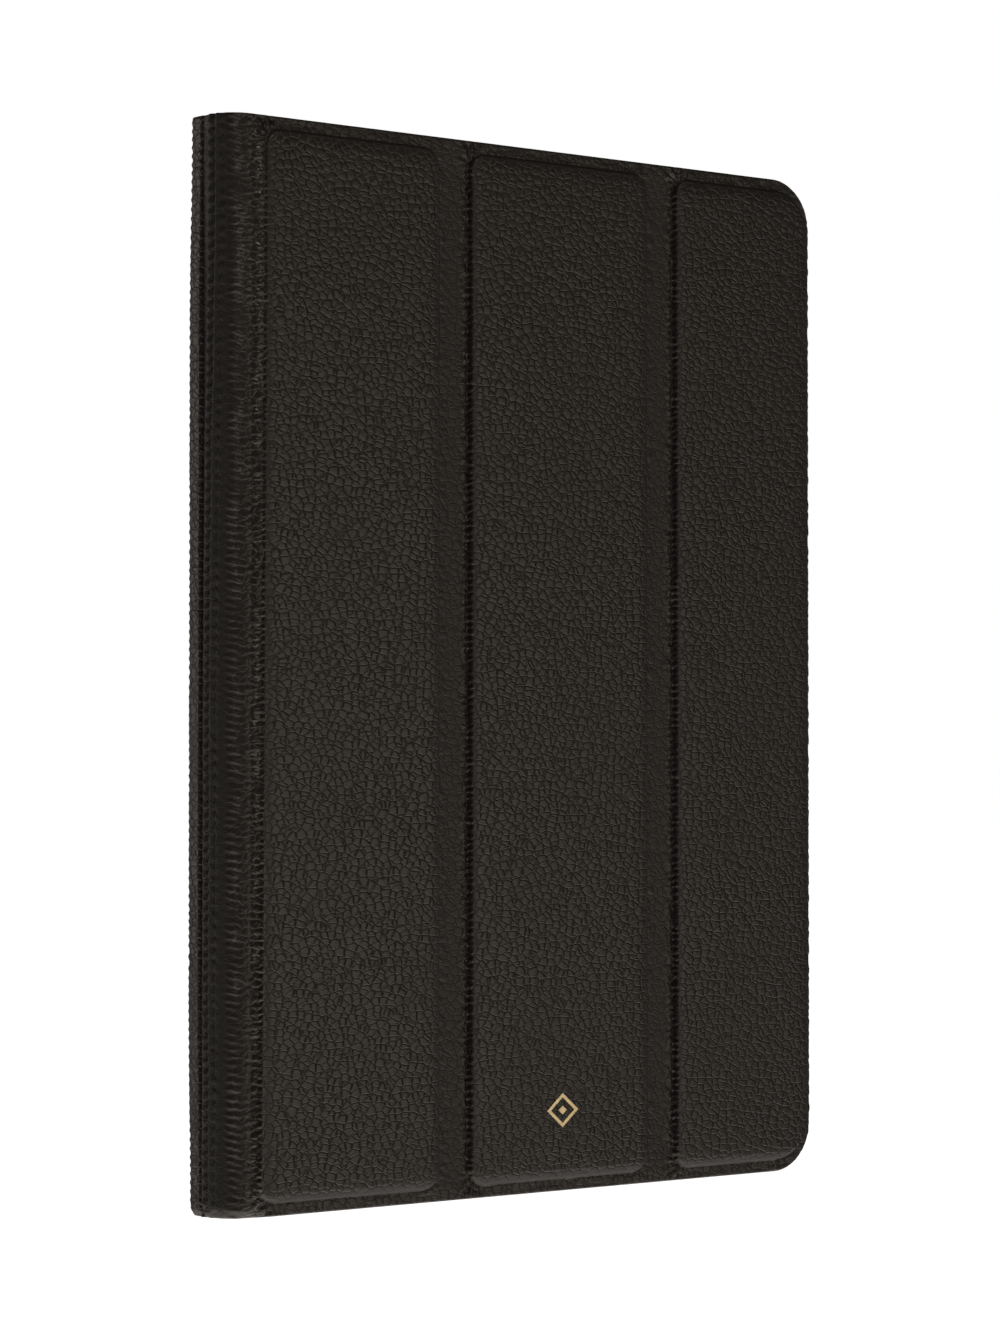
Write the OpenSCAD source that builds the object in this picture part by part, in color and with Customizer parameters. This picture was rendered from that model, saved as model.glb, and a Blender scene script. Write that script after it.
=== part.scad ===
// Folio case for a ten-inch tablet: a leather back with a moulded tray, a rounded spine and a
// cover of three boarded panels that fold outwards into a stand.
// Z is up, the cover faces -Y and the spine is on the -X side. The origin is under the middle.

/* [Tablet] */
// Width of the tablet that the tray holds
tablet_w = 174.1; // [130:0.1:230]
// Height of the tablet
tablet_h = 250.6; // [180:0.1:310]
// Thickness of the tablet
tablet_t = 7.5; // [5:0.1:11]
// Corner radius of the tablet
tablet_r = 10; // [6:0.5:16]

/* [Tray] */
// Thickness of the tray's walls
tray_wall = 1.5; // [1:0.1:2.5]
// Thickness of the tray's floor
tray_floor_t = 1; // [0.8:0.1:2]
// Play between the tablet and the tray's walls
tray_play = 0.2; // [0.1:0.05:0.6]
// Thickness of the soft pad on the tray's floor
pad_t = 0.3; // [0.2:0.05:1]
// Thickness of the clips over the tablet's corners
clip_t = 0.7; // [0.5:0.1:1.5]
// Reach of the clips over the tablet
clip_reach = 1.2; // [0.6:0.1:3]
// Length of each leg of a corner clip
clip_leg = 26; // [18:1:45]

/* [Tray openings] */
// Width of the charging port notch
port_notch_w = 18; // [10:1:30]
// Width of each speaker notch
speaker_notch_w = 22; // [10:1:30]
// Distance from the tray's middle to the middle of a speaker notch
speaker_offset = 42; // [30:1:50]
// Length of the volume button notch
volume_notch_l = 30; // [15:1:50]
// Distance from the top of the tray to the middle of the volume notch
volume_drop = 58; // [45:1:80]
// Width of the power button notch
power_notch_w = 16; // [8:1:24]
// Distance from the free side of the tray to the middle of the power notch
power_inset = 44; // [36:1:60]
// Width of the headphone socket notch
jack_notch_w = 10; // [6:1:16]
// Distance from the spine side of the tray to the middle of the headphone notch
jack_inset = 36; // [32:1:60]
// Height of the tray wall that is left under a notch
notch_sill = 1.4; // [0.5:0.1:2]
// Radius of the camera window
camera_r = 7; // [4:0.5:10]
// Distance from the tablet's two edges to the middle of the camera window
camera_inset = 15; // [12:0.5:22]

/* [Leather and boards] */
// Thickness of the leather
leather_t = 1.2; // [0.8:0.1:2]
// Thickness of the microfibre lining of the cover
lining_t = 0.6; // [0.4:0.1:1.2]
// Thickness of the boards in the cover panels
board_t = 1.5; // [1.1:0.1:2.5]
// Play round a board in its pocket
board_play = 0.15; // [0.05:0.05:0.4]
// Overhang of the leather beyond the tray
edge_margin = 1.3; // [0.5:0.1:3]
// Corner radius of the leather at the free edge
corner_r = 12.5; // [6:0.5:18]
// Distance from the leather's edge to the edge of the lining
lining_inset = 1.4; // [0.8:0.1:4]
// Gap between the closed cover and the tray
closing_gap = 0.4; // [0.3:0.1:1.5]
// Thickness of the board in the back
back_board_t = 1.3; // [0.5:0.1:2]
// Thickness of the lining of the back
back_lining_t = 0.4; // [0.3:0.1:1]
// Width of the turned hem round the back board
hem_w = 3; // [2:0.5:8]

/* [Cover panels] */
// Width of the flat border between the cover's hinge line and the first raised panel
hinge_border = 1.9; // [1.5:0.1:5]
// Width of the first raised panel
panel_1_w = 52; // [40:0.5:64]
// Width of the second raised panel
panel_2_w = 57.1; // [40:0.1:70]
// Width of the flat fold between two panels
fold_w = 9.6; // [7:0.1:14]
// Width of the flat border at the free edge
free_border = 1.7; // [1.2:0.1:5]
// Width of the flat border above the panels
top_border = 4; // [2:0.1:8]
// Width of the flat border below the panels
bottom_border = 3.2; // [2:0.1:8]
// Corner radius of the raised panels
panel_r = 4.5; // [2:0.5:8]
// Width of the slope round a raised panel
slope_w = 1; // [0.5:0.1:2]
// Gap between two leather sections at a fold line
fold_slit = 0.3; // [0.2:0.05:0.6]

/* [Spine] */
// Outer radius of the rounded spine
spine_r = 7.5; // [6:0.5:12]
// Distance from the front plane to the hinge line at the seam
seam_hinge_d = 6; // [5:0.1:8]
// Flat width from the end of the spine's bend to the hinge line at the first panel
hinge_flat_w = 1.1; // [0.6:0.1:3]
// Width of the flap that is sewn over the back leather
flap_w = 3.4; // [2.5:0.1:5]
// Thickness of the flap
flap_t = 0.8; // [0.6:0.1:1]
// Step from the flap down to the back leather beside it
flap_step = 0.1; // [0:0.1:0.5]
// Radius of the back leather where it turns onto the side
turn_r = 1.5; // [1.3:0.1:3]

/* [Stitching] */
// Distance from one stitch to the next
stitch_pitch = 2.7; // [2:0.1:4]
// Length of a stitch
stitch_len = 2; // [1.2:0.1:3]
// Radius of the thread
thread_r = 0.22; // [0.15:0.01:0.3]
// Distance from the flap's front edge to the seam's stitches
seam_row_in = 1.05; // [0.8:0.05:2]
// Distance from the seam's hinge line forward to the stitches on the spine
spine_row_gap = 1; // [0.8:0.1:2.5]
// Distance from the leather's ends to the first and last stitch
stitch_end = 4; // [2:0.5:10]

/* [Magnets] */
// Length of a bar magnet
magnet_l = 16; // [8:1:30]
// Width of a bar magnet
magnet_w = 5; // [3:0.5:8]
// Thickness of the magnets
magnet_t = 1; // [0.5:0.1:1]
// Number of bar magnets along an edge
magnet_count = 4; // [2:1:6]
// Distance from the end of a board to the middle of its last bar magnet
magnet_end = 30; // [15:1:40]
// Distance from the side of a board to its bar magnets
magnet_side = 2; // [1:0.5:6]
// Radius of the disc magnet that wakes the tablet
wake_r = 4; // [2:0.5:6]
// Height of the disc magnet above the bottom of the case
wake_z = 60; // [40:1:100]
// Distance from the side of the free panel to the middle of the disc magnet
wake_side = 14; // [13:0.5:16]

/* [Foil motif] */
// Width of the foil lozenge
motif_w = 10; // [6:0.5:16]
// Height of the foil lozenge
motif_h = 8.4; // [5:0.2:14]
// Height of the motif's middle above the bottom edge
motif_z = 20; // [14:0.5:60]
// Width of the lozenge's line
motif_line = 0.8; // [0.4:0.1:1.4]
// Width of the small solid lozenge inside
motif_core_w = 2.6; // [1:0.1:3]
// Thickness of the foil
foil_t = 0.1; // [0.05:0.01:0.14]
// Depth that the foil is pressed into the leather
press_d = 0.15; // [0.15:0.01:0.3]

/* [Hidden] */
$fn = 96;

// A plan position is (a, d): a runs from the spine's outside to the free edge, and d from the
// flat front of the leather to the back.
cover_t = leather_t + lining_t;
cover_hinge_a = spine_r + hinge_flat_w;
seam_row_d = seam_hinge_d + fold_slit / 2 + seam_row_in;
spine_row_d = seam_hinge_d - spine_row_gap;
tray_front_d = cover_t + closing_gap;
tablet_front_d = tray_front_d + clip_t;
pad_front_d = tablet_front_d + tablet_t;
floor_front_d = pad_front_d + pad_t;
back_lining_d = floor_front_d + tray_floor_t;
back_board_d = back_lining_d + back_lining_t;
back_leather_d = back_board_d + back_board_t;
case_d = back_leather_d + leather_t;
tray_inner_w = tablet_w + 2 * tray_play;
tray_inner_h = tablet_h + 2 * tray_play;
tray_w = tray_inner_w + 2 * tray_wall;
tray_h = tray_inner_h + 2 * tray_wall;
tray_a = spine_r;
case_w = tray_a + tray_w + edge_margin;
case_h = tray_h + 2 * edge_margin;
tray_z = edge_margin;
inner_a = tray_a + tray_wall;
inner_z = tray_z + tray_wall;
inner_r = tablet_r + tray_play;
camera_a = inner_a + tray_inner_w - camera_inset;
camera_z = inner_z + tray_inner_h - camera_inset;

relief = board_t;
panel_z0 = bottom_border;
panel_z1 = case_h - top_border;
panel_1_a = [cover_hinge_a + hinge_border, cover_hinge_a + hinge_border + panel_1_w];
panel_2_a = [panel_1_a[1] + fold_w, panel_1_a[1] + fold_w + panel_2_w];
panel_3_a = [panel_2_a[1] + fold_w, case_w - free_border];
fold_1_a = (panel_1_a[1] + panel_2_a[0]) / 2;
fold_2_a = (panel_2_a[1] + panel_3_a[0]) / 2;
free_panel_r = corner_r - free_border;
strip_a = flap_step;
flap_d0 = seam_hinge_d + fold_slit / 2;
tuck_play = 0.1;
thread_play = 0.03;
stitch_groove = 2 * (thread_r + thread_play);
row_count = floor((case_h - 2 * stitch_end) / stitch_pitch);
motif_inradius = motif_w * motif_h / 2 / norm([motif_w, motif_h]);
magnet_play = 0.05;
pad_play = 1;
least_r = 0.5;
eps = 0.01;
over = 1;

leather_tone = [0.16, 0.15, 0.14];
lining_tone = [0.24, 0.23, 0.23];
board_tone = [0.62, 0.56, 0.48];
thread_tone = [0.07, 0.07, 0.07];
tray_tone = [0.1, 0.1, 0.1];
magnet_tone = [0.72, 0.73, 0.75];
foil_tone = [0.85, 0.74, 0.5];

// Moves plan positions to the model's own axes
module placed() {
    translate([-case_w / 2, relief - (case_d + relief) / 2, 0]) children();
}

// Stands an outline drawn as (a, height) upright, from depth d0 to depth d1
module slab(d0, d1) {
    translate([0, d1, 0]) rotate([90, 0, 0]) linear_extrude(d1 - d0) children();
}

// Rectangle with one radius on the spine side and another on the free side
module rounded(a0, a1, z0, z1, r_spine, r_free) {
    difference() {
        translate([a0, z0]) square([a1 - a0, z1 - z0]);
        for (top = [0, 1]) {
            corner_cut(a0, top ? z1 : z0, 1, top ? -1 : 1, r_spine);
            corner_cut(a1, top ? z1 : z0, -1, top ? -1 : 1, r_free);
        }
    }
}

// What a rounded corner takes away at (a, z), towards the inside sa, sz
module corner_cut(a, z, sa, sz, r) {
    if (r > 0) translate([a, z]) scale([sa, sz]) difference() {
        translate([-over, -over]) square([r + over, r + over]);
        translate([r, r]) circle(r);
    }
}

module camera_window() {
    translate([camera_a, case_d / 2, camera_z]) rotate([90, 0, 0])
        cylinder(h = 2 * case_d, r = camera_r, center = true);
}

// Outline of the back, which the cover shares on its free side
module back_outline(inset) {
    rounded(flap_t + inset, case_w - inset, inset, case_h - inset, 0, corner_r - inset);
}

// Plan of the back leather: the sheet, its turn onto the side and the tongue under the flap
module back_leather_plan() {
    difference() {
        translate([strip_a, flap_d0]) square([case_w - strip_a, case_d - flap_d0]);
        translate([flap_t + leather_t, flap_d0 - over]) square([case_w, back_board_d - flap_d0 + over]);
        translate([strip_a - over, flap_d0 - over])
            square([flap_t - strip_a + over, flap_w + tuck_play + over]);
        corner_cut(strip_a, case_d, 1, -1, turn_r);
    }
}

module back_leather() {
    color(leather_tone) placed() difference() {
        linear_extrude(case_h) back_leather_plan();
        slab(back_board_d - over, case_d + over) difference() {
            translate([-over, -over]) square([case_w + 2 * over, case_h + 2 * over]);
            rounded(-2 * over, case_w, 0, case_h, 0, corner_r);
        }
        slab(back_board_d - over, back_leather_d) back_outline(hem_w);
        camera_window();
    }
}

module back_board() {
    color(board_tone) placed() difference() {
        slab(back_board_d, back_leather_d) back_outline(hem_w + board_play);
        camera_window();
    }
}

module back_lining() {
    color(lining_tone) placed() difference() {
        slab(back_lining_d, back_board_d)
            rounded(leather_t + flap_t + tuck_play, case_w - lining_inset, lining_inset,
                case_h - lining_inset, 0, corner_r - lining_inset);
        camera_window();
    }
}

// A notch in the tray's wall that leaves a sill above the floor
module wall_notch(a, z, wide, tall) {
    translate([a - wide / 2, tray_front_d - over, z - tall / 2])
        cube([wide, floor_front_d - notch_sill - tray_front_d + over, tall]);
}

module tray_notches() {
    through = 4 * tray_wall;
    mid_a = tray_a + tray_w / 2;
    low_z = tray_z + tray_wall / 2;
    top_z = tray_z + tray_h - tray_wall / 2;
    wall_notch(mid_a, low_z, port_notch_w, through);
    for (side = [-1, 1])
        wall_notch(mid_a + side * speaker_offset, low_z, speaker_notch_w, through);
    wall_notch(tray_a + tray_w - power_inset, top_z, power_notch_w, through);
    wall_notch(tray_a + jack_inset, top_z, jack_notch_w, through);
    wall_notch(tray_a + tray_w - tray_wall / 2, tray_z + tray_h - volume_drop, through, volume_notch_l);
}

module tray_outline(grow) {
    rounded(inner_a - grow, inner_a + tray_inner_w + grow, inner_z - grow,
        inner_z + tray_inner_h + grow, inner_r + grow, inner_r + grow);
}

// The squares at the tray's corners in which its lip stays as a clip
module clip_corners() {
    for (a = [tray_a, tray_a + tray_w - clip_leg], z = [tray_z, tray_z + tray_h - clip_leg])
        translate([a, z]) square(clip_leg);
}

module tray() {
    color(tray_tone) placed() difference() {
        slab(tray_front_d, back_lining_d) tray_outline(tray_wall);
        slab(tablet_front_d, floor_front_d) tray_outline(0);
        slab(tray_front_d - over, tablet_front_d + eps) tray_outline(-clip_reach);
        slab(tray_front_d - over, tablet_front_d + eps) difference() {
            tray_outline(0);
            clip_corners();
        }
        tray_notches();
        camera_window();
    }
}

module tray_pad() {
    color(lining_tone) placed() difference() {
        slab(pad_front_d, floor_front_d) tray_outline(-pad_play);
        camera_window();
    }
}

// Stitches of one row as separate cylinders along the height
module stitch_row() {
    for (i = [0 : row_count - 1])
        translate([0, 0, stitch_end + i * stitch_pitch]) cylinder(h = stitch_len, r = thread_r, $fn = 24);
}

module seam_flap() {
    color(leather_tone) placed() difference() {
        translate([0, flap_d0, 0]) cube([flap_t, flap_w, case_h]);
        translate([-over, seam_row_d - stitch_groove / 2, stitch_end - over])
            cube([over + stitch_groove, stitch_groove, row_count * stitch_pitch + over]);
    }
}

module seam_stitches() {
    color(thread_tone) placed() translate([stitch_groove / 2, seam_row_d, 0]) stitch_row();
}

// Plan of a layer of the spine between two radii: a quarter bend and its flat end
module spine_plan(r_out, r_in) {
    difference() {
        union() {
            intersection() {
                translate([spine_r, spine_r]) circle(r_out);
                square([spine_r, seam_hinge_d - fold_slit / 2]);
            }
            translate([spine_r, spine_r - r_out])
                square([cover_hinge_a - fold_slit / 2 - spine_r, r_out - r_in]);
        }
        translate([spine_r, spine_r]) circle(r_in);
    }
}

// Where the arc of the spine's outside lies at a given depth
function spine_out_a(d) = spine_r - sqrt(pow(spine_r, 2) - pow(spine_r - d, 2));

module spine_leather() {
    color(leather_tone) placed() difference() {
        linear_extrude(case_h) spine_plan(spine_r, spine_r - leather_t);
        translate([-over, spine_row_d - stitch_groove / 2, stitch_end - over])
            cube([over + spine_out_a(spine_row_d) + stitch_groove, stitch_groove,
                row_count * stitch_pitch + over]);
    }
}

module spine_lining() {
    color(lining_tone) placed() translate([0, 0, lining_inset])
        linear_extrude(case_h - 2 * lining_inset) spine_plan(spine_r - leather_t, spine_r - cover_t);
}

module spine_stitches() {
    color(thread_tone) placed()
        translate([spine_out_a(spine_row_d) + stitch_groove / 2, spine_row_d, 0]) stitch_row();
}

// One leather section of the cover: a flat sheet, the raised panel and the pocket for its board
module panel_leather(sheet, panel, r_edge, r_free) {
    difference() {
        union() {
            slab(0, leather_t) rounded(sheet[0], sheet[1], 0, case_h, 0, r_edge);
            hull() {
                slab(0, eps) rounded(panel[0], panel[1], panel_z0, panel_z1, panel_r, r_free, $fn = 32);
                slab(-relief, eps - relief)
                    rounded(panel[0] + slope_w, panel[1] - slope_w, panel_z0 + slope_w,
                        panel_z1 - slope_w, panel_r - slope_w / 2, r_free - slope_w, $fn = 32);
            }
        }
        slab(leather_t - relief, leather_t + over) board_outline(panel, r_free, 0);
    }
}

// Outline of a board's pocket, or of the board itself when play is given
module board_outline(panel, r_free, play) {
    side = leather_t + play;
    rounded(panel[0] + side, panel[1] - side, panel_z0 + side, panel_z1 - side,
        max(panel_r - side, least_r), max(r_free - side, least_r));
}

module panel_board(panel, r_free) {
    slab(leather_t - relief, leather_t) board_outline(panel, r_free, board_play);
}

module panel_lining(sheet, free_inset, r_free) {
    slab(leather_t, cover_t)
        rounded(sheet[0], sheet[1] - free_inset, lining_inset, case_h - lining_inset, 0, r_free);
}

// Bar magnets in a column whose side nearest the spine is at a
module magnet_column(a, grow) {
    z0 = panel_z0 + magnet_end;
    step = (panel_z1 - panel_z0 - 2 * magnet_end) / (magnet_count - 1);
    for (i = [0 : magnet_count - 1])
        translate([a - grow, leather_t - magnet_t, z0 + i * step - magnet_l / 2 - grow])
            cube([magnet_w + 2 * grow, magnet_t, magnet_l + 2 * grow]);
}

module wake_disc(grow) {
    translate([panel_3_a[1] - wake_side, leather_t - magnet_t, wake_z]) rotate([-90, 0, 0])
        cylinder(h = magnet_t, r = wake_r + grow);
}

sheet_1 = [cover_hinge_a + fold_slit / 2, fold_1_a - fold_slit / 2];
sheet_2 = [fold_1_a + fold_slit / 2, fold_2_a - fold_slit / 2];
sheet_3 = [fold_2_a + fold_slit / 2, case_w];
stand_magnet_a = panel_1_a[0] + leather_t + board_play + magnet_side;
closure_magnet_a = panel_3_a[1] - leather_t - board_play - magnet_side - magnet_w;

module panel_1_leather() {
    color(leather_tone) placed() panel_leather(sheet_1, panel_1_a, 0, panel_r);
}

module panel_1_board() {
    color(board_tone) placed() difference() {
        panel_board(panel_1_a, panel_r);
        magnet_column(stand_magnet_a, magnet_play);
    }
}

module panel_1_lining() {
    color(lining_tone) placed() panel_lining(sheet_1, 0, 0);
}

module stand_magnets() {
    color(magnet_tone) placed() magnet_column(stand_magnet_a, 0);
}

module lozenge(w, h) {
    polygon([[-w / 2, 0], [0, -h / 2], [w / 2, 0], [0, h / 2]]);
}

// Outline of the motif: a lozenge line round a small solid lozenge
module motif_outline() {
    translate([(panel_2_a[0] + panel_2_a[1]) / 2, motif_z]) {
        difference() {
            lozenge(motif_w, motif_h);
            scale(1 - motif_line / motif_inradius) lozenge(motif_w, motif_h);
        }
        lozenge(motif_core_w, motif_core_w * motif_h / motif_w);
    }
}

module panel_2_leather() {
    color(leather_tone) placed() difference() {
        panel_leather(sheet_2, panel_2_a, 0, panel_r);
        slab(-relief - over, press_d - relief) motif_outline();
    }
}

module panel_2_board() {
    color(board_tone) placed() panel_board(panel_2_a, panel_r);
}

module panel_2_lining() {
    color(lining_tone) placed() panel_lining(sheet_2, 0, 0);
}

module foil_motif() {
    color(foil_tone) placed() slab(press_d - foil_t - relief, press_d - relief) motif_outline();
}

module panel_3_leather() {
    color(leather_tone) placed() panel_leather(sheet_3, panel_3_a, corner_r, free_panel_r);
}

module panel_3_board() {
    color(board_tone) placed() difference() {
        panel_board(panel_3_a, free_panel_r);
        magnet_column(closure_magnet_a, magnet_play);
        wake_disc(magnet_play);
    }
}

module panel_3_lining() {
    color(lining_tone) placed() panel_lining(sheet_3, lining_inset, corner_r - lining_inset);
}

module closure_magnets() {
    color(magnet_tone) placed() magnet_column(closure_magnet_a, 0);
}

module wake_magnet() {
    color(magnet_tone) placed() wake_disc(0);
}

back_leather();
back_board();
back_lining();
tray();
tray_pad();
seam_flap();
seam_stitches();
spine_leather();
spine_lining();
spine_stitches();
panel_1_leather();
panel_1_board();
panel_1_lining();
stand_magnets();
panel_2_leather();
panel_2_board();
panel_2_lining();
foil_motif();
panel_3_leather();
panel_3_board();
panel_3_lining();
closure_magnets();
wake_magnet();
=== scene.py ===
import math

import bpy
import numpy as np
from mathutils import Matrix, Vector


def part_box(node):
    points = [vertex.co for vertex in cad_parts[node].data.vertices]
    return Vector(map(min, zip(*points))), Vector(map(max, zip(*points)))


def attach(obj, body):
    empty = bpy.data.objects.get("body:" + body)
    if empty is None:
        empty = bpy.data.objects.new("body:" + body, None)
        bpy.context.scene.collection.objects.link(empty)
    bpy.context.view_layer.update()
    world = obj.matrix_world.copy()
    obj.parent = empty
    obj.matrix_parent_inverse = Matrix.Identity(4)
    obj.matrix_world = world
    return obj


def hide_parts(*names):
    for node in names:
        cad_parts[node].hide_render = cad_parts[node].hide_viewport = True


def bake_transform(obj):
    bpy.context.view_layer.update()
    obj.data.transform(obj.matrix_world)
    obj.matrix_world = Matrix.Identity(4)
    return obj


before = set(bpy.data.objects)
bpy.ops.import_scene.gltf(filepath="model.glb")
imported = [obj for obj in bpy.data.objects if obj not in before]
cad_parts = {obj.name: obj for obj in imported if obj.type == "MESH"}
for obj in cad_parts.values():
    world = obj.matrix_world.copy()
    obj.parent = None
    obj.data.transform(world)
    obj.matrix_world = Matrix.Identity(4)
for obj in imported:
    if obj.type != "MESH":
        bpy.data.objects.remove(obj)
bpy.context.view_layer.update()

# ---------------------------------------------------------------------------------------------
# Measures. A plan position is (a, d) in millimetres: a runs from the spine's outside to the
# free edge and d from the flat front of the hide to the back. z is the height.
# ---------------------------------------------------------------------------------------------
MM = 0.001
SPINE_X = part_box("spine_leather")[0].x
FRONT_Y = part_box("spine_leather")[0].y
CASE_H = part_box("back_leather")[1].z / MM
CASE_W = (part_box("back_leather")[1].x - SPINE_X) / MM
CASE_D = (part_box("back_leather")[1].y - FRONT_Y) / MM
SPINE_R = (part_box("tray")[0].x - SPINE_X) / MM
LEATHER = 1.2
LINING = 0.6
COVER = LEATHER + LINING
# The raised hide reaches this far past a board's edges, and further at its top.
BOARD_SIDE = 1.35
TOP_REACH = 0.9
CORNER_R = 12.5
PANEL_R = 4.5
FREE_PANEL_R = 10.8
LINING_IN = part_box("panel_1_lining")[0].z / MM
RELIEF = -(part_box("panel_1_leather")[0].y - FRONT_Y) / MM


def panel_rect(board):
    """(a0, a1, z0, z1) of the raised panel over a board, in millimetres."""
    low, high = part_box(board)
    a0 = (low.x - SPINE_X) / MM - BOARD_SIDE
    a1 = (high.x - SPINE_X) / MM + BOARD_SIDE
    return a0, a1, low.z / MM - BOARD_SIDE, high.z / MM + BOARD_SIDE + TOP_REACH


PANELS = [panel_rect(f"panel_{n}_board") for n in (1, 2, 3)]
HINGE_SLIT = 0.15
HINGE_A = (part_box("panel_1_leather")[0].x - SPINE_X) / MM - HINGE_SLIT
FOLD_A = [(PANELS[0][1] + PANELS[1][0]) / 2, (PANELS[1][1] + PANELS[2][0]) / 2]
SEAM_D = 6.0
FLAP_D = (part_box("seam_flap")[1].y - FRONT_Y) / MM
ROW_LOW, ROW_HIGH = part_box("seam_stitches")
ROW_D = (ROW_LOW.y + ROW_HIGH.y - 2 * FRONT_Y) / 2 / MM
SECOND_ROW_D = 5.0
STITCH_PITCH = 2.7
FIRST_STITCH_Z = 5.0
# The hide's sheets meet this far inside each panel.
SPLIT_IN = (26.0, 16.0, 12.0)
SPLITS = [inset + rect[0] for inset, rect in zip(SPLIT_IN, PANELS)]


def placed(a, d, z):
    """Plan positions in millimetres as points of the frame, in metres."""
    x = SPINE_X + np.asarray(a) * MM
    y = FRONT_Y + np.asarray(d) * MM
    return np.stack([x, y, np.asarray(z) * MM], -1)


# ---------------------------------------------------------------------------------------------
# Shader maths
# ---------------------------------------------------------------------------------------------
class Level:
    """A value that changes over a surface. Arithmetic on it adds Math nodes."""

    def __init__(self, finish, socket):
        self.finish = finish
        self.socket = socket

    def math(self, operation, *others):
        inputs = dict(enumerate((self, *others)))
        return self.finish.add("ShaderNodeMath", {"operation": operation}, inputs)

    def __add__(self, other):
        return self.math("ADD", other)

    def __radd__(self, other):
        return self.math("ADD", other)

    def __mul__(self, other):
        return self.math("MULTIPLY", other)

    def __rmul__(self, other):
        return self.math("MULTIPLY", other)

    def __sub__(self, other):
        return self.math("SUBTRACT", other)

    def __rsub__(self, other):
        return self.finish.add("ShaderNodeMath", {"operation": "SUBTRACT"}, {0: other, 1: self})

    def __pow__(self, other):
        return self.math("POWER", other)


class Finish:
    """One material and the nodes that make it."""

    def __init__(self, name, **fixed):
        self.material = bpy.data.materials.new(name)
        self.material.use_nodes = True
        self.tree = self.material.node_tree
        self.shader = self.tree.nodes["Principled BSDF"]
        for socket, value in fixed.items():
            self.shader.inputs[socket.replace("_", " ")].default_value = value
        self.place = self.add("ShaderNodeTexCoord", output="Object")

    def add(self, kind, settings=(), inputs=(), output=0):
        """Adds a node, with its settings first and then the values or links of its sockets."""
        node = self.tree.nodes.new(kind)
        for key, value in dict(settings).items():
            setattr(node, key, value)
        for key, value in dict(inputs).items():
            if isinstance(value, Level):
                self.tree.links.new(value.socket, node.inputs[key])
            else:
                node.inputs[key].default_value = value
        return Level(self, node.outputs[output])

    def noise(self, size, detail=2.0, rough=0.5):
        """Soft noise from 0 to 1 whose lumps are about size millimetres across."""
        inputs = {"Vector": self.place, "Scale": 1 / (size * MM), "Detail": detail, "Roughness": rough}
        return self.add("ShaderNodeTexNoise", {}, inputs)

    def ramp(self, level, low, high, to_low=0.0, to_high=1.0):
        """The level eased between two bounds and spread onto two others."""
        inputs = {"Value": level, "From Min": low, "From Max": high, "To Min": to_low, "To Max": to_high}
        return self.add("ShaderNodeMapRange", {"interpolation_type": "SMOOTHSTEP"}, inputs)

    def clip(self, level, low, high):
        """The level spread evenly from 0 to 1 between two bounds."""
        return self.add("ShaderNodeMapRange", {}, {"Value": level, "From Min": low, "From Max": high})

    def mix(self, level, low, high):
        """A colour between two colours."""
        inputs = {0: level, 6: low, 7: high}
        return self.add("ShaderNodeMix", {"data_type": "RGBA"}, inputs, output=2)

    def wobbled(self, size, reach):
        """The place pushed about by up to reach millimetres, in swirls of the given size."""
        inputs = {"Vector": self.place, "Scale": 1 / (size * MM), "Detail": 2.0}
        swirl = self.add("ShaderNodeTexNoise", {}, inputs, output="Color")
        middle = (0.5, 0.5, 0.5)
        centred = self.add("ShaderNodeVectorMath", {"operation": "SUBTRACT"}, {0: swirl, 1: middle})
        push = {0: centred, "Scale": 2 * reach * MM}
        scaled = self.add("ShaderNodeVectorMath", {"operation": "SCALE"}, push)
        return self.add("ShaderNodeVectorMath", {"operation": "ADD"}, {0: self.place, 1: scaled})

    def cells(self, size, place, feature="DISTANCE_TO_EDGE"):
        """Distance to the edge or the core of cells that are about size millimetres across."""
        inputs = {"Vector": place, "Scale": 1 / (size * MM)}
        return self.add("ShaderNodeTexVoronoi", {"feature": feature}, inputs, output="Distance")

    def attribute(self, name):
        """A strength that is written on the piece's own vertices."""
        return self.add("ShaderNodeAttribute", {"attribute_name": name}, output="Fac")

    def feed(self, socket, level):
        """Links a value to one of the shader's sockets."""
        self.tree.links.new(level.socket, self.shader.inputs[socket])

    def emboss(self, height, depth):
        """Bumps the surface by height times depth in millimetres."""
        bump = self.add("ShaderNodeBump", {}, {"Strength": 1.0, "Distance": depth * MM, "Height": height})
        self.feed("Normal", bump)


def grey(level, warm=0.0):
    """A near-grey colour in linear light, warmer as warm goes up."""
    return (level * (1 + warm), level, level * (1 - warm), 1.0)


def shade(tone, share):
    """A colour made darker or lighter."""
    return tuple(c * share for c in tone[:3]) + (1.0,)


WAX_TINT = (1.0, 0.90, 0.80, 1.0)


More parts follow.
